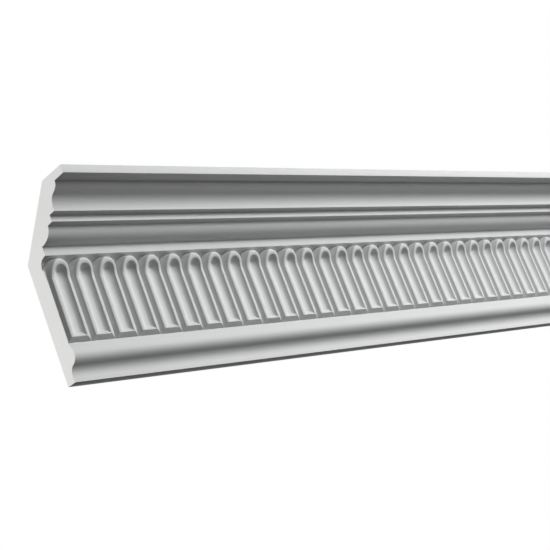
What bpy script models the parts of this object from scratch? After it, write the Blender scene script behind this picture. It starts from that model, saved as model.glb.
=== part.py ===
# A length of cornice moulding, cast in one piece, with a band of round-headed flutes.
# Metres, +Z up. The length runs along X, the front looks towards -Y and the wall is at +Y.
# The origin is the middle of the face that lies against the wall.
# A place on the cross-section is given as (out, up): its distance out from the wall face,
# and its height above the underside.

import math

import bmesh
import bpy
from mathutils import Vector
from mathutils.geometry import interpolate_bezier

MM = 0.001

# Overall sizes
HEIGHT = 150.0 * MM
TOP_OUT = 73.4 * MM
WALL_FACE_HEIGHT = 101.6 * MM
CEILING_FACE_BACK = 47.9 * MM
FLUTE_COUNT = 31
FLUTE_PITCH = 23.46 * MM
LENGTH = FLUTE_COUNT * FLUTE_PITCH

# Steps of the front, from the top down
TOP_FILLET_FOOT = 143.1 * MM
OGEE_HEAD = Vector((61.2 * MM, 142.9 * MM))
OGEE_MIDDLE = Vector((54.6 * MM, 135.2 * MM))
OGEE_FOOT = Vector((49.4 * MM, 123.2 * MM))
UPPER_FILLET_OUT = 43.3 * MM
UPPER_FILLET_HEAD = 123.0 * MM
UPPER_FILLET_FOOT = 117.4 * MM
OVOLO_HEAD = Vector((37.5 * MM, 117.0 * MM))
OVOLO_FOOT = Vector((23.4 * MM, 106.3 * MM))
LOWER_FILLET_FOOT = Vector((23.4 * MM, 98.7 * MM))

# The recessed ground that the flutes stand on, and the quirk under it
GROUND_OUT = 16.2 * MM
GROUND_HEAD = Vector((14.6 * MM, 91.5 * MM))
GROUND_EASE_UP = 76.0 * MM
GROUND_FOOT_UP = 29.8 * MM
QUIRK = Vector((13.0 * MM, 30.05 * MM))

# The roll and the cove at the foot
ROLL_FRONT = Vector((19.2 * MM, 19.2 * MM))
ROLL_FOOT = Vector((13.2 * MM, 12.2 * MM))
COVE_BACK = Vector((9.0 * MM, 4.0 * MM))
LIP_OUT = 9.5 * MM
CURVE_STEPS = 7

# How far each curve's handles stand from its ends, out and up
OGEE_HEAD_PULL = Vector((-0.2 * MM, -3.4 * MM))
OGEE_MIDDLE_UPPER_PULL = Vector((2.9 * MM, 1.9 * MM))
OGEE_MIDDLE_LOWER_PULL = Vector((-3.0 * MM, -2.0 * MM))
OGEE_FOOT_PULL = Vector((0.2 * MM, 6.6 * MM))
OVOLO_HEAD_PULL = Vector((-0.7 * MM, -5.0 * MM))
OVOLO_FOOT_PULL = Vector((9.3 * MM, 0.3 * MM))
FILLET_FOOT_PULL = Vector((-4.4 * MM, -0.1 * MM))
GROUND_HEAD_PULL = Vector((0.2 * MM, 5.0 * MM))
QUIRK_PULL = Vector((2.2 * MM, -2.7 * MM))
ROLL_FRONT_UPPER_PULL = Vector((0.2 * MM, 4.0 * MM))
ROLL_FRONT_LOWER_PULL = Vector((-0.3 * MM, -4.2 * MM))
ROLL_FOOT_UPPER_PULL = Vector((2.4 * MM, 0.8 * MM))
ROLL_FOOT_LOWER_PULL = Vector((-2.9 * MM, -1.4 * MM))
COVE_BACK_PULL = Vector((-0.1 * MM, 3.4 * MM))

# One flute: a raised tongue with a round head, hollowed down its middle.
# An inset is measured from the line where one flute meets the next.
FLUTE_GAP = 0.3 * MM
FLUTE_BURIED_OUT = 12.0 * MM
FLANK_BASE_OUT = 14.9 * MM
FLANK_FOOT_INSET = 0.35 * MM
SHOULDER_OUT = 19.6 * MM
SHOULDER_INSET = 2.3 * MM
RIM_OUT = 20.3 * MM
RIM_OUTER_INSET = 3.1 * MM
RIM_INNER_RADIUS = 6.6 * MM
HOLLOW_HALF_WIDTH = 6.2 * MM
HOLLOW_EDGE_OUT = 19.9 * MM
HOLLOW_FLOOR_OUT = 17.2 * MM
HOLLOW_STEPS = 3
HEAD_CENTRE_UP = 86.4 * MM
HEAD_STEPS = 8
FLUTE_FOOT_UP = 32.3 * MM
HOLLOW_END_RISE = 1.4
CORNER_CUT_UP = 36.0 * MM

# The heads lean forward: a bend that starts at LEAN_START_UP, then a straight slope
LEAN_START_UP = 81.0 * MM
LEAN_RADIUS = 9.0 * MM
LEAN_SLOPE = 0.5
HOLLOW_LEAN_SHARE = 0.4

WELD_DISTANCE = 0.01 * MM


def clear_scene():
    for item in list(bpy.data.objects):
        bpy.data.objects.remove(item, do_unlink=True)


def new_collection(name):
    collection = bpy.data.collections.new(name)
    bpy.context.scene.collection.children.link(collection)
    return collection


def plaster_white():
    material = bpy.data.materials.new("primed_white")
    material.use_nodes = True
    shader = material.node_tree.nodes["Principled BSDF"]
    shader.inputs["Base Color"].default_value = (0.70, 0.70, 0.69, 1.0)
    shader.inputs["Roughness"].default_value = 0.75
    shader.inputs["Metallic"].default_value = 0.0
    return material


def swept(start, start_pull, end_pull, end):
    """Points of a smooth stretch of the section, without its first point."""
    points = interpolate_bezier(start, start + start_pull, end + end_pull, end, CURVE_STEPS)
    return [point.to_2d() for point in points[1:]]


def back_and_top():
    return [
        Vector((0.0, 0.0)),
        Vector((0.0, WALL_FACE_HEIGHT)),
        Vector((CEILING_FACE_BACK, HEIGHT)),
        Vector((TOP_OUT, HEIGHT)),
        Vector((TOP_OUT, TOP_FILLET_FOOT)),
    ]


def ogee():
    """Convex above and hollow below, under the top fillet."""
    points = [OGEE_HEAD]
    points += swept(OGEE_HEAD, OGEE_HEAD_PULL, OGEE_MIDDLE_UPPER_PULL, OGEE_MIDDLE)
    points += swept(OGEE_MIDDLE, OGEE_MIDDLE_LOWER_PULL, OGEE_FOOT_PULL, OGEE_FOOT)
    return points


def upper_fillet_and_ovolo():
    points = [
        Vector((UPPER_FILLET_OUT, UPPER_FILLET_HEAD)),
        Vector((UPPER_FILLET_OUT, UPPER_FILLET_FOOT)),
        OVOLO_HEAD,
    ]
    points += swept(OVOLO_HEAD, OVOLO_HEAD_PULL, OVOLO_FOOT_PULL, OVOLO_FOOT)
    return points


def ground():
    """The lower fillet, the hollow under it and the flat ground between the flutes."""
    points = [LOWER_FILLET_FOOT]
    points += swept(LOWER_FILLET_FOOT, FILLET_FOOT_PULL, GROUND_HEAD_PULL, GROUND_HEAD)
    points += [
        Vector((GROUND_OUT, GROUND_EASE_UP)),
        Vector((GROUND_OUT, GROUND_FOOT_UP)),
        QUIRK,
    ]
    return points


def roll_and_cove():
    points = swept(QUIRK, QUIRK_PULL, ROLL_FRONT_UPPER_PULL, ROLL_FRONT)
    points += swept(ROLL_FRONT, ROLL_FRONT_LOWER_PULL, ROLL_FOOT_UPPER_PULL, ROLL_FOOT)
    points += swept(ROLL_FOOT, ROLL_FOOT_LOWER_PULL, COVE_BACK_PULL, COVE_BACK)
    points.append(Vector((LIP_OUT, 0.0)))
    return points


def section_outline():
    return back_and_top() + ogee() + upper_fillet_and_ovolo() + ground() + roll_and_cove()


def mesh_from_curve(curve_object, name, collection):
    """Turn a curve into a closed mesh object in the same place, and remove the curve."""
    bpy.context.view_layer.update()
    depsgraph = bpy.context.evaluated_depsgraph_get()
    mesh = bpy.data.meshes.new_from_object(curve_object.evaluated_get(depsgraph))
    mesh.name = name
    bm = bmesh.new()
    bm.from_mesh(mesh)
    bmesh.ops.remove_doubles(bm, verts=bm.verts, dist=WELD_DISTANCE)
    bmesh.ops.recalc_face_normals(bm, faces=bm.faces)
    bm.to_mesh(mesh)
    bm.free()
    result = bpy.data.objects.new(name, mesh)
    result.matrix_world = curve_object.matrix_world
    collection.objects.link(result)
    bpy.data.objects.remove(curve_object, do_unlink=True)
    return result


def plain_moulding(collection):
    """The cross-section run along the whole length, with no flutes yet."""
    outline = section_outline()
    curve = bpy.data.curves.new("section", "CURVE")
    curve.dimensions = "2D"
    curve.fill_mode = "BOTH"
    curve.extrude = LENGTH / 2
    spline = curve.splines.new("POLY")
    spline.points.add(len(outline) - 1)
    for point, (out, up) in zip(spline.points, outline):
        point.co = (out, up, 0.0, 1.0)
    spline.use_cyclic_u = True
    section = bpy.data.objects.new("section", curve)
    section.rotation_euler = (math.radians(90), 0.0, math.radians(-90))
    section.location = (0.0, 0.0, -WALL_FACE_HEIGHT / 2)
    collection.objects.link(section)
    return mesh_from_curve(section, "cornice_moulding", collection)


def hollow_arc():
    """Stations (radius, out) down the side of the hollow, from its edge to its middle line."""
    depth = HOLLOW_EDGE_OUT - HOLLOW_FLOOR_OUT
    arc_radius = (HOLLOW_HALF_WIDTH ** 2 + depth ** 2) / (2 * depth)
    edge_angle = math.asin(HOLLOW_HALF_WIDTH / arc_radius)
    stations = []
    for step in range(HOLLOW_STEPS + 1):
        angle = edge_angle * (1 - step / HOLLOW_STEPS)
        out = HOLLOW_FLOOR_OUT + arc_radius * (1 - math.cos(angle))
        stations.append((arc_radius * math.sin(angle), out))
    return stations


def flute_stations():
    """Half of a flute's cross-section as (radius, out), from its buried edge to its middle."""
    half = FLUTE_PITCH / 2
    side = half - FLUTE_GAP / 2
    return [
        (side, FLUTE_BURIED_OUT),
        (side, FLANK_BASE_OUT),
        (half - FLANK_FOOT_INSET, GROUND_OUT),
        (half - SHOULDER_INSET, SHOULDER_OUT),
        (half - RIM_OUTER_INSET, RIM_OUT),
        (RIM_INNER_RADIUS, RIM_OUT),
    ] + hollow_arc()


def lean_share(radius):
    """How much of the lean a point takes: none at the ground, all of it on the rim."""
    side = FLUTE_PITCH / 2 - FLUTE_GAP / 2
    rim = FLUTE_PITCH / 2 - RIM_OUTER_INSET
    if radius > rim:
        return max(0.0, (side - radius) / (side - rim))
    if radius > RIM_INNER_RADIUS:
        return 1.0
    return HOLLOW_LEAN_SHARE + (1 - HOLLOW_LEAN_SHARE) * radius / RIM_INNER_RADIUS


def foot_height(out):
    """Height of the flute's lower end, a slope from the rim back to the ground."""
    fall = (RIM_OUT - max(out, GROUND_OUT)) / (RIM_OUT - GROUND_OUT)
    return FLUTE_FOOT_UP + (GROUND_FOOT_UP - FLUTE_FOOT_UP) * fall


def row_edges(bm, height):
    return [edge for edge in bm.edges
            if all(abs(vert.co.z - height) < WELD_DISTANCE for vert in edge.verts)]


def extrude_row(bm, edges):
    """Extrude a row of edges on the spot, and return the new edges and their points."""
    result = bmesh.ops.extrude_edge_only(bm, edges=edges)["geom"]
    new_edges = [item for item in result if isinstance(item, bmesh.types.BMEdge)]
    points = [item for item in result if isinstance(item, bmesh.types.BMVert)]
    rim = [edge for edge in new_edges if all(vert in points for vert in edge.verts)]
    return rim, points


def shape_hollow_end(points):
    """Bring a row down to where the hollow's floor meets the slope that closes it."""
    for vert in points:
        out = SHOULDER_OUT
        if abs(vert.co.x) < RIM_INNER_RADIUS + WELD_DISTANCE:
            out = min(-vert.co.y, HOLLOW_EDGE_OUT)
        vert.co.z = FLUTE_FOOT_UP + HOLLOW_END_RISE * (RIM_OUT - out)


def shape_foot(points):
    for vert in points:
        if abs(vert.co.x) < RIM_INNER_RADIUS + WELD_DISTANCE:
            vert.co.y = -RIM_OUT
        vert.co.z = foot_height(-vert.co.y)


def close_flute(bm):
    """Add the sloping lower end, the underside within the ground and the buried back."""
    def at_out(out):
        found = [vert for vert in bm.verts if abs(vert.co.y + out) < WELD_DISTANCE]
        lowest = min(vert.co.z for vert in found)
        return [vert for vert in found if vert.co.z < lowest + WELD_DISTANCE]

    ground_edge = bm.edges.new(at_out(GROUND_OUT))
    back_edge = bm.edges.new(at_out(FLUTE_BURIED_OUT))
    rim = [edge for edge in bm.edges if len(edge.link_faces) == 1]

    def outs(edge):
        return [-vert.co.y for vert in edge.verts]

    front = [edge for edge in rim if min(outs(edge)) > GROUND_OUT - WELD_DISTANCE]
    back = [edge for edge in rim if max(outs(edge)) < FLUTE_BURIED_OUT + WELD_DISTANCE]
    under = [edge for edge in rim if edge not in front and edge not in back]
    bmesh.ops.contextual_create(bm, geom=front + [ground_edge])
    bmesh.ops.contextual_create(bm, geom=under + [ground_edge, back_edge])
    bmesh.ops.contextual_create(bm, geom=back + [back_edge])


def cut_corner(bm):
    """Cut back the lower corner on the right, from the rim down to the ground."""
    rim_edge = Vector((FLUTE_PITCH / 2 - RIM_OUTER_INSET, -RIM_OUT, CORNER_CUT_UP))
    rim_foot = Vector((RIM_INNER_RADIUS, -RIM_OUT, FLUTE_FOOT_UP))
    ground_foot = Vector((FLUTE_PITCH / 2 - FLANK_FOOT_INSET, -GROUND_OUT, GROUND_FOOT_UP))
    facing = (ground_foot - rim_foot).cross(rim_edge - rim_foot).normalized()
    everything = list(bm.verts) + list(bm.edges) + list(bm.faces)
    cut = bmesh.ops.bisect_plane(bm, geom=everything, dist=WELD_DISTANCE / 10,
                                 plane_co=rim_foot, plane_no=facing, clear_outer=True)
    edges = [item for item in cut["geom_cut"] if isinstance(item, bmesh.types.BMEdge)]
    bmesh.ops.contextual_create(bm, geom=edges)


def lean(rise):
    """How far the head leans out at a height above the start of the lean."""
    bend = min(rise, LEAN_RADIUS * LEAN_SLOPE)
    return bend ** 2 / (2 * LEAN_RADIUS) + (rise - bend) * LEAN_SLOPE


def lean_head(bm):
    for vert in bm.verts:
        rise = vert.co.z - LEAN_START_UP
        if rise > 0:
            radius = math.hypot(vert.co.x, max(0.0, vert.co.z - HEAD_CENTRE_UP))
            vert.co.y -= lean_share(radius) * lean(rise)


def flute_mesh():
    """One flute, its middle line at x = 0 and its heights measured from the underside."""
    bm = bmesh.new()
    verts = [bm.verts.new((radius, -out, HEAD_CENTRE_UP)) for radius, out in flute_stations()]
    edges = [bm.edges.new(pair) for pair in zip(verts, verts[1:])]
    bmesh.ops.spin(bm, geom=verts + edges, cent=(0.0, 0.0, HEAD_CENTRE_UP),
                   axis=(0.0, -1.0, 0.0), angle=math.pi, steps=HEAD_STEPS)
    bmesh.ops.remove_doubles(bm, verts=bm.verts, dist=WELD_DISTANCE)
    row, points = extrude_row(bm, row_edges(bm, HEAD_CENTRE_UP))
    for vert in points:
        vert.co.z = LEAN_START_UP
    row, points = extrude_row(bm, row)
    shape_hollow_end(points)
    row, points = extrude_row(bm, row)
    shape_foot(points)
    close_flute(bm)
    cut_corner(bm)
    lean_head(bm)
    bmesh.ops.recalc_face_normals(bm, faces=bm.faces)
    mesh = bpy.data.meshes.new("flute")
    bm.to_mesh(mesh)
    bm.free()
    return mesh


def flute_row(collection):
    """All the flutes as one repeated shape, ready to be joined to the moulding."""
    flute = bpy.data.objects.new("flute_row", flute_mesh())
    flute.location = (-LENGTH / 2 + FLUTE_PITCH / 2, 0.0, -WALL_FACE_HEIGHT / 2)
    flute.hide_render = True
    flute.display_type = "WIRE"
    collection.objects.link(flute)
    array = flute.modifiers.new("repeat", "ARRAY")
    array.count = FLUTE_COUNT
    array.use_relative_offset = False
    array.use_constant_offset = True
    array.constant_offset_displace = (FLUTE_PITCH, 0.0, 0.0)
    return flute


def main():
    clear_scene()
    parts = new_collection("cornice moulding")
    joined_shapes = new_collection("joined shapes")
    moulding = plain_moulding(parts)
    moulding.data.materials.append(plaster_white())
    union = moulding.modifiers.new("flutes", "BOOLEAN")
    union.operation = "UNION"
    union.solver = "EXACT"
    union.object = flute_row(joined_shapes)
    bpy.context.view_layer.update()


main()
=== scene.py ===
"""A cast cornice moulding with a band of round-headed flutes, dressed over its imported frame."""

import math

import bmesh
import bpy
from bpy.props import FloatProperty, FloatVectorProperty, IntProperty, PointerProperty
from mathutils import Matrix, Vector
from mathutils.geometry import interpolate_bezier


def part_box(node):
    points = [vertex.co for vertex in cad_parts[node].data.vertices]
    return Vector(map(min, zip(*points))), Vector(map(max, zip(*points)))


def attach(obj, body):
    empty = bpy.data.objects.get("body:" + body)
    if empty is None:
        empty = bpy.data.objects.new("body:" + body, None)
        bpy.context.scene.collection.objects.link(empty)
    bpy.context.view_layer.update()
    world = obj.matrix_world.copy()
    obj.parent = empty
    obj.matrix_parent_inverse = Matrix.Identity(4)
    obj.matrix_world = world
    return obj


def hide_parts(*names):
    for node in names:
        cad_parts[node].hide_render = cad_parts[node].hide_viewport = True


bl_info = {
    "name": "Fluted cornice moulding",
    "version": (1, 0, 0),
    "blender": (4, 5, 0),
    "location": "3D View > Sidebar > Cornice",
    "description": "Builds a length of fluted cornice moulding, its finish and a plain stage",
    "category": "Object",
}

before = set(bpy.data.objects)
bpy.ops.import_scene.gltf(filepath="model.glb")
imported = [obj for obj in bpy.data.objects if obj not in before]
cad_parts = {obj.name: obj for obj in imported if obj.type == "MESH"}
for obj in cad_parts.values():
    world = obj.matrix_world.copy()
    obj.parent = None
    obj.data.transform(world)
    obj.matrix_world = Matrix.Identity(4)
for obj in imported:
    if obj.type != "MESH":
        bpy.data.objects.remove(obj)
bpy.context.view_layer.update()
LOW, HIGH = (Vector(corner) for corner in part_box("cornice_moulding"))
LENGTH = HIGH.x - LOW.x
HEIGHT = HIGH.z - LOW.z
TOP_OUT = HIGH.y - LOW.y

MM = 0.001

# The cross-section is given as (out, up): millimetres out from the wall and up from the underside
WALL_FACE_HEIGHT = 101.6
CEILING_FACE_BACK = 47.9
TOP_FILLET_FOOT = 143.1
OGEE_HEAD = (61.2, 142.9)
OGEE_MIDDLE = (54.6, 135.2)
OGEE_FOOT = (49.4, 123.2)
UPPER_FILLET_OUT = 43.3
UPPER_FILLET_HEAD = 123.0
UPPER_FILLET_FOOT = 117.4
OVOLO_HEAD = (37.5, 117.0)
OVOLO_FOOT = (23.4, 106.3)
LOWER_FILLET_FOOT = (23.4, 98.7)
GROUND_HEAD = (14.6, 91.5)
GROUND_EASE = (16.2, 76.0)
GROUND_FOOT = (16.2, 29.75)
QUIRK = (15.8, 29.7)
ROLL_FRONT = (19.2, 19.2)
ROLL_FOOT = (13.2, 12.2)
COVE_BACK = (9.0, 4.0)
LIP = (9.5, 0.0)
CURVE_STEPS = 20

# How far each curve's handles stand from its ends, out and up
OGEE_HEAD_PULL = (0.5, -4.2)
OGEE_MIDDLE_UPPER_PULL = (3.9, 1.9)
OGEE_MIDDLE_LOWER_PULL = (-3.2, -1.6)
OGEE_FOOT_PULL = (0.2, 6.6)
OVOLO_HEAD_PULL = (-0.7, -5.0)
OVOLO_FOOT_PULL = (9.3, 0.3)
FILLET_FOOT_PULL = (-4.4, -0.1)
GROUND_HEAD_PULL = (0.2, 5.0)
QUIRK_PULL = (0.9, -2.0)
ROLL_FRONT_UPPER_PULL = (0.2, 4.0)
ROLL_FRONT_LOWER_PULL = (-0.3, -4.2)
ROLL_FOOT_UPPER_PULL = (2.4, 0.8)
ROLL_FOOT_LOWER_PULL = (-2.9, -1.4)
COVE_BACK_PULL = (-0.1, 3.4)

# An arris is a long edge that turns by more than this angle. Each is rounded off in a few facets.
ARRIS_ANGLE = math.radians(25)
ARRIS_SEGMENTS = 3
ARRIS_ROUNDNESS = 0.5

# Across one flute, in millimetres. FLANK_FOOT, SHOULDER and RIM_OUTER are given as (inset, out): in from
# the line where one flute meets the next, and out from the wall.
FIRST_FLUTE_CUT = 0.8
FLUTE_GAP = 0.3
BURIED_OUT = 12.0
FLANK_BASE_OUT = 14.9
FLANK_FOOT = (0.35, 16.2)
SHOULDER = (2.3, 19.2)
SHOULDER_PULL = (-0.15, 0.5)
RIM_OUTER = (3.3, 20.2)
RIM_OUTER_PULL = (0.45, -0.02)
RIM_INNER_RADIUS = 6.6
RIM_INNER_PULL = (-0.35, 0.0)
CREST_OUT = 20.3
HOLLOW_HALF_WIDTH = 6.2
HOLLOW_ARC_SHARE = 0.93
HOLLOW_EDGE_PULL = 0.4
FLANK_STEPS = 5
RIM_STEPS = 4
HOLLOW_STEPS = 10

# Along one flute, in millimetres up from the underside. FOOT_BACK is given as (out, up). The row of points
# next above the foot stands FOOT_ROW_RISE over it, and HOLLOW_END_RISE is how steeply the hollow runs out.
HEAD_CENTRE_UP = 86.4
HEAD_STEPS = 28
CORNER_CUT_UP = 36.0
FLUTE_FOOT_UP = 32.3
FOOT_BACK = (16.7, 29.5)
FOOT_ROW_RISE = 0.3
HOLLOW_END_RISE = 1.4

# The lean and the shape of a flute's head, in millimetres and in shares
LEAN_START_UP = 80.5
LEAN_END_UP = 95.0
LEAN_ROWS = 4
LEAN_OUT = 4.8
RIDGE_RADIUS = 8.0
HOLLOW_LEAN_SHARE = 0.3
HOLLOW_HEAD_HEIGHT = 0.74
HEAD_NARROWING = 0.16

# Points of a flute nearer to each other than this, in millimetres, are one point
WELD_DISTANCE = 0.01

# The joined mesh: its slivers in metres, the sides that a face may keep, and where shading breaks
SLIVER_WIDTH = 0.002 * MM
MOST_SIDES = 4
SMOOTH_ANGLE = math.radians(38)
END_FACING = 0.999

# The surface: the sizes of its unevenness in metres, how finely each is drawn, the share by which its
# colour drifts, and how it takes the light
COLOUR_DRIFT = 0.012
DRIFT_RANGE = (0.3, 0.7)
DRIFT_SIZE = 45 * MM
DRIFT_DETAIL = 3.0
WAVE_SIZE = 9 * MM
WAVE_DETAIL = 2.0
WAVE_HEIGHT = 0.05 * MM
PEEL_SIZE = 1.1 * MM
PEEL_DETAIL = 2.0
PEEL_HEIGHT = 0.02 * MM
PINHOLE_SPACING = 14 * MM
PINHOLE_RADIUS = 0.35 * MM
PINHOLE_DEPTH = 0.15 * MM
SAWN_SIZE = 1.6 * MM
SAWN_DETAIL = 4.0
SAWN_HEIGHT = 0.03 * MM
PRIMER_ROUGHNESS = 0.62
SAWN_ROUGHNESS = 0.75
FOAM_IOR = 1.47

# The camera, set back from the lower back corner of the near cut end
CAMERA_BACK = Vector((0.66322, 0.80647, 0.26979))
CAMERA_RIGHT = Vector((0.68567, -0.63974, -0.34725))
CAMERA_UP = Vector((0.04349, -0.44020, 0.89685))
CAMERA_LENS = 92.95
SENSOR_WIDTH = 36.0

# The lamps: name, place from the middle of the piece, width, and irradiance at the piece
LAMPS = (
    ("near key", (0.4, -1.3, 0.8), 0.7, 2.12),
    ("side", (5.0, -2.6, 1.6), 1.6, 0.7),
    ("far key", (3.0, -3.5, 1.0), 1.6, 1.05),
    ("low fill", (0.3, -0.7, -0.5), 0.5, 0.2),
    ("end", (-2.0, 3.46, 0.0), 1.4, 4.05),
    ("left", (-2.5, 0.25, 0.0), 0.5, 0.3),
)
AMBIENT = 0.06
WHITE = (1.0, 1.0, 1.0, 1.0)
FLOOR_REACH = 1.5


def hex_colour(text):
    """An sRGB hex colour as linear red, green, blue and alpha."""
    def linear(value):
        return value / 12.92 if value <= 0.04045 else ((value + 0.055) / 1.055) ** 2.4
    channels = [int(text[start:start + 2], 16) / 255 for start in (1, 3, 5)]
    return tuple(linear(value) for value in channels) + (1.0,)


class CorniceSizes(bpy.types.PropertyGroup):
    flute_count: IntProperty(
        name="Flutes", description="Flutes along the whole length", default=31, min=1)
    arris_softness: FloatProperty(
        name="Arris softness", description="How far the cast edges are rounded off",
        default=0.35 * MM, min=0.0, unit="LENGTH", subtype="DISTANCE", precision=5)
    hollow_depth: FloatProperty(
        name="Hollow depth", description="Depth of the hollow down a flute, below its rim",
        default=3.4 * MM, min=0.0, unit="LENGTH", subtype="DISTANCE", precision=5)


class CorniceFinish(bpy.types.PropertyGroup):
    primer: FloatVectorProperty(
        name="Primer", description="Colour of the matt primer",
        subtype="COLOR", size=4, min=0.0, max=1.0, default=hex_colour("#D3D4D4"))
    # The sawn ends' colour is bare foam, lighter than the primer. It is partly the foam's own colour and
    # partly painted light on the cut ends.
    cut_foam_painted_bright: FloatVectorProperty(
        name="Cut foam", description="Colour of the sawn ends",
        subtype="COLOR", size=4, min=0.0, max=1.0, default=hex_colour("#EFEFED"))


class CorniceStage(bpy.types.PropertyGroup):
    floor_drop: FloatProperty(
        name="Floor drop", description="Height of the moulding above the floor",
        default=2.2, min=0.0, unit="LENGTH", subtype="DISTANCE")
    floor: FloatVectorProperty(
        name="Floor", description="Colour of the floor",
        subtype="COLOR", size=4, min=0.0, max=1.0, default=hex_colour("#ECECEA"))


def beside(station, shift):
    return (station[0] + shift[0], station[1] + shift[1])


def swept(start, start_pull, end_pull, end, steps=CURVE_STEPS):
    """Stations of a smooth stretch, after its start. A pull is the way from an end to its handle."""
    knots = (start, beside(start, start_pull), beside(end, end_pull), end)
    curve = interpolate_bezier(*[Vector((*knot, 0.0)) for knot in knots], steps + 1)
    return [(place.x, place.y) for place in curve[1:]]


def straight(start, end, steps):
    """Stations of a straight stretch, after its start."""
    shares = [step / steps for step in range(1, steps + 1)]
    return [(start[0] + (end[0] - start[0]) * share, start[1] + (end[1] - start[1]) * share)
            for share in shares]


def section_stations():
    """The outline of the cut end, as stations from the lower back corner round to the lip."""
    height = HEIGHT / MM
    top_out = TOP_OUT / MM
    stations = [
        (0.0, 0.0),
        (0.0, WALL_FACE_HEIGHT),
        (CEILING_FACE_BACK, height),
        (top_out, height),
        (top_out, TOP_FILLET_FOOT),
        OGEE_HEAD,
    ]
    stations += swept(OGEE_HEAD, OGEE_HEAD_PULL, OGEE_MIDDLE_UPPER_PULL, OGEE_MIDDLE)
    stations += swept(OGEE_MIDDLE, OGEE_MIDDLE_LOWER_PULL, OGEE_FOOT_PULL, OGEE_FOOT)
    stations += [
        (UPPER_FILLET_OUT, UPPER_FILLET_HEAD),
        (UPPER_FILLET_OUT, UPPER_FILLET_FOOT),
        OVOLO_HEAD,
    ]
    stations += swept(OVOLO_HEAD, OVOLO_HEAD_PULL, OVOLO_FOOT_PULL, OVOLO_FOOT)
    stations.append(LOWER_FILLET_FOOT)
    stations += swept(LOWER_FILLET_FOOT, FILLET_FOOT_PULL, GROUND_HEAD_PULL, GROUND_HEAD)
    stations += [GROUND_EASE, GROUND_FOOT, QUIRK]
    stations += swept(QUIRK, QUIRK_PULL, ROLL_FRONT_UPPER_PULL, ROLL_FRONT)
    stations += swept(ROLL_FRONT, ROLL_FRONT_LOWER_PULL, ROLL_FOOT_UPPER_PULL, ROLL_FOOT)
    stations += swept(ROLL_FOOT, ROLL_FOOT_LOWER_PULL, COVE_BACK_PULL, COVE_BACK)
    stations.append(LIP)
    return stations


def row_place(across, out, up):
    """A place in the frame from millimetres across, out from the wall and up from the underside."""
    return Vector((across * MM, HIGH.y - out * MM, LOW.z + up * MM))


def mesh_object(bm, name):
    mesh = bpy.data.meshes.new(name)
    bm.to_mesh(mesh)
    bm.free()
    piece = bpy.data.objects.new(name, mesh)
    bpy.context.scene.collection.objects.link(piece)
    return piece


def whole(bm):
    return list(bm.verts) + list(bm.edges) + list(bm.faces)


def only(kind, items):
    return [item for item in items if isinstance(item, kind)]


def cut_away(bm, place, facing):
    """Cut away what stands in front of a plane, and close the cut."""
    cut = bmesh.ops.bisect_plane(bm, geom=whole(bm), plane_co=place, plane_no=facing,
                                 clear_outer=True)
    bmesh.ops.contextual_create(bm, geom=only(bmesh.types.BMEdge, cut["geom_cut"]))


def plain_run(arris_softness):
    """The section run along the length, with its arrises softened and its ends cut square."""
    bm = bmesh.new()
    near_end = LOW.x / MM
    verts = [bm.verts.new(row_place(near_end, out, up)) for out, up in section_stations()]
    cut_face = bm.faces.new(verts)
    run = bmesh.ops.extrude_face_region(bm, geom=[cut_face], use_keep_orig=True)["geom"]
    bmesh.ops.translate(bm, verts=only(bmesh.types.BMVert, run), vec=(LENGTH, 0.0, 0.0))
    bmesh.ops.recalc_face_normals(bm, faces=bm.faces)
    arrises = [edge for edge in bm.edges
               if edge.calc_length() > LENGTH / 2 and edge.calc_face_angle() > ARRIS_ANGLE]
    bmesh.ops.bevel(bm, geom=arrises, offset=arris_softness, offset_type="OFFSET",
                    segments=ARRIS_SEGMENTS, profile=ARRIS_ROUNDNESS, affect="EDGES",
                    clamp_overlap=True, material=-1)
    return mesh_object(bm, "cornice_moulding_cast")


def flute_side(pitch):
    """Half the width of a flute at its widest, from its middle line to its side."""
    return pitch / 2 - FLUTE_GAP / 2


def inset_station(station, pitch):
    """A station given by its inset, as (radius, out) from the flute's middle line."""
    return (pitch / 2 - station[0], station[1])


def hollow_arc(hollow_depth):
    """Half of the hollow as an arc from its edge to its middle, and the slope at its edge."""
    arc_radius = (HOLLOW_HALF_WIDTH ** 2 + hollow_depth ** 2) / (2 * hollow_depth)
    edge_angle = math.asin(HOLLOW_HALF_WIDTH / arc_radius)
    arc = []
    for step in range(HOLLOW_STEPS + 1):
        angle = edge_angle * HOLLOW_ARC_SHARE * (1 - step / HOLLOW_STEPS)
        arc.append((arc_radius * math.sin(angle),
                    CREST_OUT - hollow_depth + arc_radius * (1 - math.cos(angle))))
    return arc, edge_angle


def flute_stations(pitch, hollow_depth):
    """Half of a flute's cross-section as (radius, out), from its buried edge to its middle."""
    side = flute_side(pitch)
    flank_foot = inset_station(FLANK_FOOT, pitch)
    shoulder = inset_station(SHOULDER, pitch)
    rim_outer = inset_station(RIM_OUTER, pitch)
    rim_inner = (RIM_INNER_RADIUS, CREST_OUT)
    arc, edge_angle = hollow_arc(hollow_depth)
    arc_pull = (math.cos(edge_angle) * HOLLOW_EDGE_PULL, math.sin(edge_angle) * HOLLOW_EDGE_PULL)
    stations = [(side, BURIED_OUT), (side, FLANK_BASE_OUT), flank_foot]
    stations += straight(flank_foot, shoulder, FLANK_STEPS)
    stations += swept(shoulder, SHOULDER_PULL, RIM_OUTER_PULL, rim_outer, RIM_STEPS)
    stations.append(((rim_outer[0] + rim_inner[0]) / 2, CREST_OUT))
    stations.append(rim_inner)
    stations += swept(rim_inner, RIM_INNER_PULL, arc_pull, arc[0], RIM_STEPS)
    return stations + arc[1:]


def lean_share(radius, pitch):
    """How much of the lean a point takes: none at the ground, all of it on the rim."""
    if radius > RIDGE_RADIUS:
        way_down = (radius - RIDGE_RADIUS) / (flute_side(pitch) - RIDGE_RADIUS)
        return math.sqrt(max(0.0, 1 - way_down ** 2))
    if radius > RIM_INNER_RADIUS:
        return 1.0
    return HOLLOW_LEAN_SHARE + (1 - HOLLOW_LEAN_SHARE) * radius / RIM_INNER_RADIUS


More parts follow.
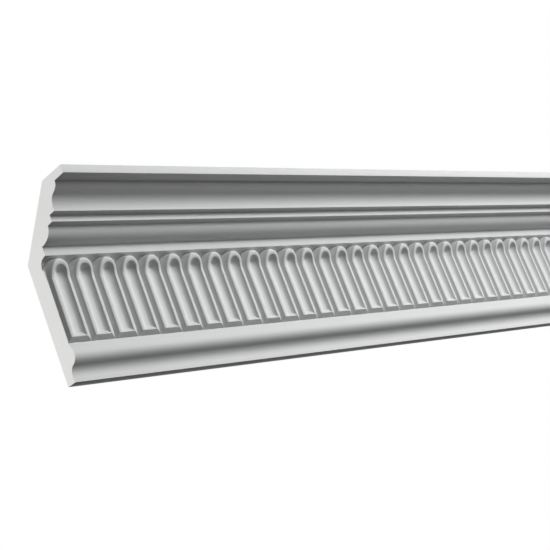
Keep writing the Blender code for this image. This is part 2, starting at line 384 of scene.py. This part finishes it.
def shape_head(vert, pitch):
    """Lean a point of the head out, draw it in to the sides and lower the top of the hollow."""
    above_centre = max(0.0, vert.co.z - HEAD_CENTRE_UP)
    radius = math.hypot(vert.co.x, above_centre)
    if radius < RIM_INNER_RADIUS + WELD_DISTANCE:
        vert.co.z -= above_centre * (1 - HOLLOW_HEAD_HEIGHT)
    rise = min(1.0, (vert.co.z - LEAN_START_UP) / (LEAN_END_UP - LEAN_START_UP))
    eased_rise = rise * rise * (3 - 2 * rise)
    share = lean_share(radius, pitch)
    vert.co.y += LEAN_OUT * eased_rise * share
    vert.co.x *= 1 - HEAD_NARROWING * eased_rise * (share if radius > RIDGE_RADIUS else 1.0)


def foot_height(out):
    """Height of a flute's lower end, a slope that falls back from the crest to the ground."""
    fall = (CREST_OUT - max(out, FOOT_BACK[0])) / (CREST_OUT - FOOT_BACK[0])
    return FLUTE_FOOT_UP + (FOOT_BACK[1] - FLUTE_FOOT_UP) * fall


def extrude_row(bm, edges):
    """Extrude a row of edges on the spot, and return the new row and its points."""
    result = bmesh.ops.extrude_edge_only(bm, edges=edges)["geom"]
    points = set(only(bmesh.types.BMVert, result))
    row = [edge for edge in only(bmesh.types.BMEdge, result) if points.issuperset(edge.verts)]
    return row, points


def one_flute(pitch, hollow_depth):
    """A flute in millimetres: x across it, y out from the wall and z up from the underside."""
    bm = bmesh.new()
    verts = [bm.verts.new((radius, out, HEAD_CENTRE_UP))
             for radius, out in flute_stations(pitch, hollow_depth)]
    edges = [bm.edges.new(pair) for pair in zip(verts, verts[1:])]
    bmesh.ops.spin(bm, geom=verts + edges, cent=(0.0, 0.0, HEAD_CENTRE_UP),
                   axis=(0.0, -1.0, 0.0), angle=math.pi, steps=HEAD_STEPS)
    bmesh.ops.remove_doubles(bm, verts=bm.verts, dist=WELD_DISTANCE)
    row = [edge for edge in bm.edges
           if all(abs(vert.co.z - HEAD_CENTRE_UP) < WELD_DISTANCE for vert in edge.verts)]
    for step in range(1, LEAN_ROWS + 1):
        row, points = extrude_row(bm, row)
        for vert in points:
            vert.co.z = HEAD_CENTRE_UP + (LEAN_START_UP - HEAD_CENTRE_UP) * step / LEAN_ROWS
    crest_radius = RIM_INNER_RADIUS + WELD_DISTANCE
    row, points = extrude_row(bm, row)
    for vert in points:
        out = vert.co.y if abs(vert.co.x) < crest_radius else CREST_OUT
        vert.co.z = FLUTE_FOOT_UP + HOLLOW_END_RISE * (CREST_OUT - out) + FOOT_ROW_RISE
    row, points = extrude_row(bm, row)
    for vert in points:
        if abs(vert.co.x) < crest_radius:
            vert.co.y = CREST_OUT
        vert.co.z = foot_height(vert.co.y)
    close_flute(bm, row)
    cut_corner(bm, pitch)
    for vert in bm.verts:
        if vert.co.z > LEAN_START_UP:
            shape_head(vert, pitch)
    return bm


def close_flute(bm, row):
    """Close the lower end of a flute with its slope, then the part within the ground, and its back."""
    front = [edge for edge in row
             if min(vert.co.y for vert in edge.verts) > FOOT_BACK[0] - WELD_DISTANCE]
    points = extrude_row(bm, front)[1]
    for vert in points:
        vert.co.y, vert.co.z = FOOT_BACK
    bmesh.ops.remove_doubles(bm, verts=bm.verts, dist=WELD_DISTANCE)
    buried = BURIED_OUT + WELD_DISTANCE
    lowest_back = min(vert.co.z for vert in bm.verts if vert.co.y < buried)
    corners = [vert for vert in bm.verts
               if vert.co.y < buried and vert.co.z < lowest_back + WELD_DISTANCE]
    back_edge = bm.edges.new(corners)
    rim = [edge for edge in bm.edges if len(edge.link_faces) == 1]
    back = [edge for edge in rim if all(vert.co.y < buried for vert in edge.verts)]
    foot = [edge for edge in rim if edge not in back]
    bmesh.ops.contextual_create(bm, geom=foot + [back_edge])
    bmesh.ops.contextual_create(bm, geom=back + [back_edge])


def cut_corner(bm, pitch):
    """Cut back the lower corner of a flute on its right, from the rim down to the ground."""
    rim_edge = Vector((*inset_station(RIM_OUTER, pitch), CORNER_CUT_UP))
    rim_foot = Vector((RIM_INNER_RADIUS, CREST_OUT, FLUTE_FOOT_UP))
    ground = Vector((flute_side(pitch), *FOOT_BACK))
    facing = (rim_edge - rim_foot).cross(ground - rim_foot).normalized()
    cut_away(bm, rim_foot, facing)


def flute_row(count, hollow_depth):
    """All the flutes side by side, as one object in its place."""
    pitch = (LENGTH / MM + FIRST_FLUTE_CUT) / count
    bm = one_flute(pitch, hollow_depth)
    first = LOW.x / MM + pitch / 2 - FIRST_FLUTE_CUT
    for vert in bm.verts:
        vert.co = row_place(vert.co.x + first, vert.co.y, vert.co.z)
    bmesh.ops.recalc_face_normals(bm, faces=bm.faces)
    pattern = whole(bm)
    for index in range(1, count):
        copy = bmesh.ops.duplicate(bm, geom=pattern)["geom"]
        bmesh.ops.translate(bm, verts=only(bmesh.types.BMVert, copy),
                            vec=(index * pitch * MM, 0.0, 0.0))
    cut_away(bm, (LOW.x, 0.0, 0.0), (-1.0, 0.0, 0.0))
    return mesh_object(bm, "flute_row")


def join_solids(piece, other):
    """Unite another closed shape with a piece, weld the slivers left, and remove the other."""
    union = piece.modifiers.new("union", "BOOLEAN")
    union.operation = "UNION"
    union.solver = "EXACT"
    union.object = other
    depsgraph = bpy.context.evaluated_depsgraph_get()
    joined = bpy.data.meshes.new_from_object(piece.evaluated_get(depsgraph))
    bm = bmesh.new()
    bm.from_mesh(joined)
    bmesh.ops.remove_doubles(bm, verts=bm.verts, dist=SLIVER_WIDTH)
    bmesh.ops.dissolve_degenerate(bm, dist=SLIVER_WIDTH, edges=bm.edges)
    many_sided = [face for face in bm.faces if len(face.verts) > MOST_SIDES]
    bmesh.ops.triangulate(bm, faces=many_sided, ngon_method="BEAUTY")
    bm.to_mesh(joined)
    bm.free()
    piece.modifiers.clear()
    plain = piece.data
    piece.data = joined
    bpy.data.meshes.remove(plain)
    bpy.data.objects.remove(other, do_unlink=True)


def add_node(tree, kind, settings=(), links=()):
    """Add a node, set its values by name, and link its inputs from other nodes' outputs."""
    node = tree.nodes.new(kind)
    for name, value in dict(settings).items():
        if hasattr(node, name):
            setattr(node, name, value)
        else:
            node.inputs[name].default_value = value
    for name, source in dict(links).items():
        tree.links.new(source, node.inputs[name])
    return node


def noise(tree, place, size, detail):
    texture = add_node(tree, "ShaderNodeTexNoise", {"Scale": 1 / size, "Detail": detail},
                       {"Vector": place.outputs["Object"]})
    return texture.outputs["Fac"]


def foam_material(name, colour, roughness, reliefs):
    """A matt, nearly white surface whose colour drifts slightly.

    Each relief is a function that gives the height's node output, and how high it stands in metres.
    """
    material = bpy.data.materials.new(name)
    material.use_nodes = True
    tree = material.node_tree
    tree.nodes.clear()
    place = add_node(tree, "ShaderNodeTexCoord")
    shade = add_node(tree, "ShaderNodeValToRGB", {},
                     {"Fac": noise(tree, place, DRIFT_SIZE, DRIFT_DETAIL)})
    shares = (1 - COLOUR_DRIFT, 1 + COLOUR_DRIFT)
    for element, position, share in zip(shade.color_ramp.elements, DRIFT_RANGE, shares):
        element.position = position
        element.color = tuple(channel * share for channel in colour[:3]) + (1.0,)
    shader = add_node(tree, "ShaderNodeBsdfPrincipled",
                      {"Roughness": roughness, "Metallic": 0.0, "IOR": FOAM_IOR},
                      {"Base Color": shade.outputs["Color"]})
    normal = None
    for make_height, height in reliefs:
        links = {"Height": make_height(tree, place)}
        if normal:
            links["Normal"] = normal
        normal = add_node(tree, "ShaderNodeBump", {"Distance": height}, links).outputs["Normal"]
    tree.links.new(normal, shader.inputs["Normal"])
    output = add_node(tree, "ShaderNodeOutputMaterial")
    tree.links.new(shader.outputs["BSDF"], output.inputs["Surface"])
    return material


def waves(tree, place):
    return noise(tree, place, WAVE_SIZE, WAVE_DETAIL)


def orange_peel(tree, place):
    return noise(tree, place, PEEL_SIZE, PEEL_DETAIL)


def sawn_cells(tree, place):
    return noise(tree, place, SAWN_SIZE, SAWN_DETAIL)


def pinholes(tree, place):
    """Sparse small pits: low at their middles and level everywhere else."""
    cells = add_node(tree, "ShaderNodeTexVoronoi", {"Scale": 1 / PINHOLE_SPACING},
                     {"Vector": place.outputs["Object"]})
    pits = add_node(tree, "ShaderNodeMapRange", {"From Max": PINHOLE_RADIUS / PINHOLE_SPACING},
                    {"Value": cells.outputs["Distance"]})
    return pits.outputs["Result"]


def primer_material(finish):
    """Primed polyurethane: cast foam under a rolled primer, matt white with a faint orange peel."""
    reliefs = ((waves, WAVE_HEIGHT), (orange_peel, PEEL_HEIGHT), (pinholes, PINHOLE_DEPTH))
    return foam_material("primed_polyurethane", tuple(finish.primer), PRIMER_ROUGHNESS, reliefs)


def cut_material(finish):
    """Sawn polyurethane: bare foam at the cut ends, drier than the primer and whiter. The extra whiteness
    is partly the foam's own colour and partly painted light that brightens the cut ends.
    """
    reliefs = ((sawn_cells, SAWN_HEIGHT),)
    return foam_material("sawn_polyurethane_painted_bright", tuple(finish.cut_foam_painted_bright), SAWN_ROUGHNESS, reliefs)


class CORNICE_OT_moulding(bpy.types.Operator):
    """Build the length of moulding, cast in one piece with its flutes"""
    bl_idname = "cornice.moulding"
    bl_label = "Moulding"

    def execute(self, context):
        sizes = context.scene.cornice_sizes
        finish = context.scene.cornice_finish
        piece = plain_run(sizes.arris_softness)
        join_solids(piece, flute_row(sizes.flute_count, sizes.hollow_depth / MM))
        piece.data.materials.clear()
        piece.data.materials.append(primer_material(finish))
        piece.data.materials.append(cut_material(finish))
        for face in piece.data.polygons:
            # Faces that look along the length are the cut ends. They take the sawn foam, whose whiter
            # colour is partly painted light.
            face.material_index = 1 if abs(face.normal.x) > END_FACING else 0
        piece.data.shade_smooth()
        piece.data.set_sharp_from_angle(angle=SMOOTH_ANGLE)
        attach(piece, "root")
        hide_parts("cornice_moulding")
        return {"FINISHED"}


def pale_floor(stage):
    """A level floor below the piece, which gives no bounced light."""
    bm = bmesh.new()
    bmesh.ops.create_grid(bm, x_segments=1, y_segments=1, size=FLOOR_REACH)
    bmesh.ops.translate(bm, verts=bm.verts, vec=(0.0, 0.0, LOW.z - stage.floor_drop))
    floor = mesh_object(bm, "floor")
    material = bpy.data.materials.new("pale_floor")
    material.use_nodes = True
    shader = material.node_tree.nodes["Principled BSDF"]
    shader.inputs["Base Color"].default_value = tuple(stage.floor)
    floor.data.materials.append(material)
    floor.visible_diffuse = False
    return floor


def softbox(name, offset, width, irradiance):
    """A round lamp aimed at the middle of the piece, as bright there as the irradiance asks."""
    toward = Vector(offset)
    light = bpy.data.lights.new(name, "AREA")
    light.shape = "DISK"
    light.size = width
    light.energy = irradiance * math.pi * toward.length_squared
    lamp = bpy.data.objects.new(name, light)
    lamp.location = (LOW + HIGH) / 2 + toward
    lamp.rotation_euler = toward.to_track_quat("Z", "Y").to_euler()
    bpy.context.scene.collection.objects.link(lamp)


def studio_world():
    """Soft light from all round, in front of a pure white backdrop."""
    world = bpy.data.worlds.new("studio")
    world.use_nodes = True
    tree = world.node_tree
    tree.nodes.clear()
    path = add_node(tree, "ShaderNodeLightPath")
    fill = add_node(tree, "ShaderNodeBackground", {"Color": WHITE, "Strength": AMBIENT})
    backdrop = add_node(tree, "ShaderNodeBackground", {"Color": WHITE, "Strength": 1.0})
    mix = add_node(tree, "ShaderNodeMixShader", {}, {"Fac": path.outputs["Is Camera Ray"]})
    tree.links.new(fill.outputs["Background"], mix.inputs[1])
    tree.links.new(backdrop.outputs["Background"], mix.inputs[2])
    output = add_node(tree, "ShaderNodeOutputWorld")
    tree.links.new(mix.outputs["Shader"], output.inputs["Surface"])
    return world


def aimed_camera():
    """A camera at the photograph's viewing angle, placed from the lower back corner."""
    data = bpy.data.cameras.new("camera")
    data.lens = CAMERA_LENS
    data.sensor_width = SENSOR_WIDTH
    camera = bpy.data.objects.new("camera", data)
    turn = Matrix((CAMERA_RIGHT, CAMERA_UP, CAMERA_RIGHT.cross(CAMERA_UP))).transposed()
    place = Vector((LOW.x, HIGH.y, LOW.z)) - CAMERA_BACK
    camera.matrix_world = Matrix.Translation(place) @ turn.to_4x4()
    bpy.context.scene.collection.objects.link(camera)
    return camera


class CORNICE_OT_stage(bpy.types.Operator):
    """Set the floor, the light and the camera"""
    bl_idname = "cornice.stage"
    bl_label = "Stage"

    def execute(self, context):
        scene = context.scene
        floor = pale_floor(scene.cornice_stage)
        for lamp in LAMPS:
            softbox(*lamp)
        scene.world = studio_world()
        scene.view_settings.view_transform = "Standard"
        scene.camera = aimed_camera()
        return {"FINISHED"}


class CORNICE_PT_panel(bpy.types.Panel):
    bl_idname = "CORNICE_PT_panel"
    bl_label = "Cornice moulding"
    bl_space_type = "VIEW_3D"
    bl_region_type = "UI"
    bl_category = "Cornice"

    def draw(self, context):
        layout = self.layout
        scene = context.scene
        for group in (scene.cornice_sizes, scene.cornice_finish, scene.cornice_stage):
            box = layout.box()
            for name in group.bl_rna.properties.keys():
                if name not in ("rna_type", "name"):
                    box.prop(group, name)
        for operator in (CORNICE_OT_moulding, CORNICE_OT_stage):
            layout.operator(operator.bl_idname)


CLASSES = (CorniceSizes, CorniceFinish, CorniceStage, CORNICE_OT_moulding, CORNICE_OT_stage,
           CORNICE_PT_panel)


def register():
    for item in CLASSES:
        bpy.utils.register_class(item)
    bpy.types.Scene.cornice_sizes = PointerProperty(type=CorniceSizes)
    bpy.types.Scene.cornice_finish = PointerProperty(type=CorniceFinish)
    bpy.types.Scene.cornice_stage = PointerProperty(type=CorniceStage)


def unregister():
    del bpy.types.Scene.cornice_stage
    del bpy.types.Scene.cornice_finish
    del bpy.types.Scene.cornice_sizes
    for item in reversed(CLASSES):
        bpy.utils.unregister_class(item)


def main():
    register()
    bpy.ops.cornice.moulding()
    bpy.ops.cornice.stage()


if __name__ == "__main__":
    main()
